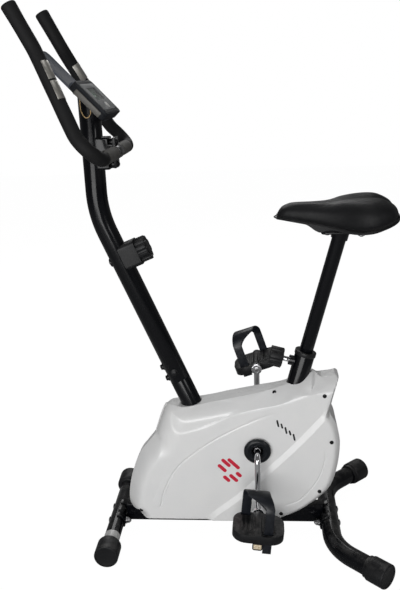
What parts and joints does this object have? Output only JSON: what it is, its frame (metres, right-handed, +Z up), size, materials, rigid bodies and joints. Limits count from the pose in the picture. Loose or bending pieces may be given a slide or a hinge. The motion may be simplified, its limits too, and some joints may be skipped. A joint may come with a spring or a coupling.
{
  "type": "exercise bike",
  "caption": "Upright magnetic exercise bike with a white shroud, bent handlebar post, looped foam handlebar, console, saddle on a sliding post and strapped pedals.",
  "frame": {"origin": "point of the floor under the middle of the bounding box", "axes": "+X towards the bike's front, +Y to the rider's left, +Z up"},
  "size_m": [0.7971, 0.4977, 1.2608],
  "materials": {
    "black_paint": "gloss",
    "white_shell": "satin",
    "black_plastic": "moulded",
    "cover_plastic": "satin",
    "strap_rubber": "matte",
    "black_foam": "foam",
    "grey_foam": "foam",
    "chrome": "polished",
    "zinc_steel": "zinc plated",
    "black_fastener": "black oxide",
    "cast_iron": "machined",
    "bracket_steel": "satin",
    "saddle_vinyl": "grained",
    "silver_plastic": "metallic",
    "grey_plastic": "satin",
    "dark_plastic": "satin",
    "lcd_glass": "clear",
    "board_green": "lacquered",
    "reflector": "clear",
    "magnet_black": "coated",
    "belt_rubber": "matte",
    "wire_tan": "insulated",
    "button_white": "smooth",
    "plate_steel": "brushed",
    "pulley_plastic": "moulded",
    "bush_plastic": "moulded"
  },
  "bodies": {
    "frame": {"main_rail": "black_paint", "post_stub": "black_paint", "seat_tube": "black_paint", "bottom_bracket": "black_paint", "flywheel_brackets": "bracket_steel", "front_stabilizer": "black_paint", "rear_stabilizer": "black_paint", "foot_saddles": "black_paint", "front_caps": "black_plastic", "rear_caps": "black_plastic", "stabilizer_bolts": "zinc_steel", "bearings": "zinc_steel", "drive_belt": "belt_rubber", "brake_pin": "zinc_steel", "left_housing": "white_shell", "right_housing": "white_shell", "housing_screws": "black_fastener", "crank_covers": "cover_plastic", "seat_bush": "bush_plastic", "handlebar_post": "black_paint", "post_bolts": "black_fastener", "tension_housing": "black_plastic", "tension_cable": "black_plastic", "clamp_cap": "black_paint", "clamp_bolts": "black_fastener", "tablet_rest": "grey_plastic", "console_back": "dark_plastic", "console_bezel": "dark_plastic", "console_face": "silver_plastic", "lcd_lens": "lcd_glass", "console_board": "board_green", "console_screws": "zinc_steel", "sensor_wire": "wire_tan"},
    "crank_unit": {"crank": "chrome", "pedal_spindles": "zinc_steel", "drive_pulley": "pulley_plastic"},
    "left_pedal_unit": {"left_pedal": "black_plastic", "left_strap": "strap_rubber", "left_reflector": "reflector"},
    "right_pedal_unit": {"right_pedal": "black_plastic", "right_strap": "strap_rubber", "right_reflector": "reflector"},
    "flywheel_unit": {"flywheel": "cast_iron", "flywheel_axle": "zinc_steel", "flywheel_pulley": "zinc_steel"},
    "brake_unit": {"brake_arm": "bracket_steel", "brake_magnets": "magnet_black"},
    "seat_unit": {"seat_post": "black_paint", "seat_bolts": "zinc_steel", "saddle_base": "black_plastic", "saddle_cushion": "saddle_vinyl"},
    "pin_sleeve_unit": {"knob_sleeve": "chrome"},
    "pin_knob_unit": {"seat_knob": "black_plastic", "seat_pin": "zinc_steel"},
    "tension_unit": {"tension_knob": "black_plastic"},
    "handlebar_unit": {"handlebar_tube": "black_paint", "arm_grips": "black_foam", "bar_grips": "grey_foam", "pulse_plates": "plate_steel"},
    "button_unit": {"mode_button": "button_white"}
  },
  "joints": [
    {"name": "crank_spin", "type": "hinge", "parent": "frame", "child": "crank_unit", "pos_m": [-0.0848, 0, 0.248], "axis": [0, 1, 0], "continuous": true},
    {"name": "left_pedal_spin", "type": "hinge", "parent": "crank_unit", "child": "left_pedal_unit", "pos_m": [-0.0848, 0.15, 0.108], "axis": [0, 1, 0], "continuous": true},
    {"name": "right_pedal_spin", "type": "hinge", "parent": "crank_unit", "child": "right_pedal_unit", "pos_m": [-0.0848, -0.15, 0.388], "axis": [0, 1, 0], "continuous": true},
    {"name": "flywheel_spin", "type": "hinge", "parent": "frame", "child": "flywheel_unit", "pos_m": [0.1182, 0, 0.168], "axis": [0, 1, 0], "continuous": true},
    {"name": "tension_turn", "type": "hinge", "parent": "frame", "child": "tension_unit", "pos_m": [0.17791, 0, 0.72721], "axis": [-0.9252, 0, 0.3795], "range_deg": [0, 300]},
    {"name": "brake_swing", "type": "hinge", "parent": "frame", "child": "brake_unit", "pos_m": [0.1889, 0, 0.0973], "axis": [0, -1, 0], "range_deg": [0, 2.6]},
    {"name": "seat_height", "type": "slide", "parent": "frame", "child": "seat_unit", "axis": [-0.2588, 0, 0.9659], "range_m": [-0.125, 0.05]},
    {"name": "knob_unscrew", "type": "hinge", "parent": "frame", "child": "pin_sleeve_unit", "pos_m": [-0.15547, 0, 0.4571], "axis": [0.9659, 0, 0.2588], "range_deg": [0, 360]},
    {"name": "knob_pull", "type": "slide", "parent": "pin_sleeve_unit", "child": "pin_knob_unit", "axis": [0.9659, 0, 0.2588], "range_m": [0, 0.012], "stiffness_N_per_m": 700},
    {"name": "handlebar_tilt", "type": "hinge", "parent": "frame", "child": "handlebar_unit", "pos_m": [0.2152, 0, 0.951], "axis": [0, 1, 0], "range_deg": [-15, 15]},
    {"name": "mode_press", "type": "slide", "parent": "frame", "child": "button_unit", "axis": [0.7314, 0, -0.682], "range_m": [0, 0.0012], "stiffness_N_per_m": 400}
  ],
  "couplings": [
    {"joint": "flywheel_spin", "follows": "crank_spin", "ratio": 7.8571},
    {"joint": "brake_swing", "follows": "tension_turn", "ratio": 0.008333}
  ]
}
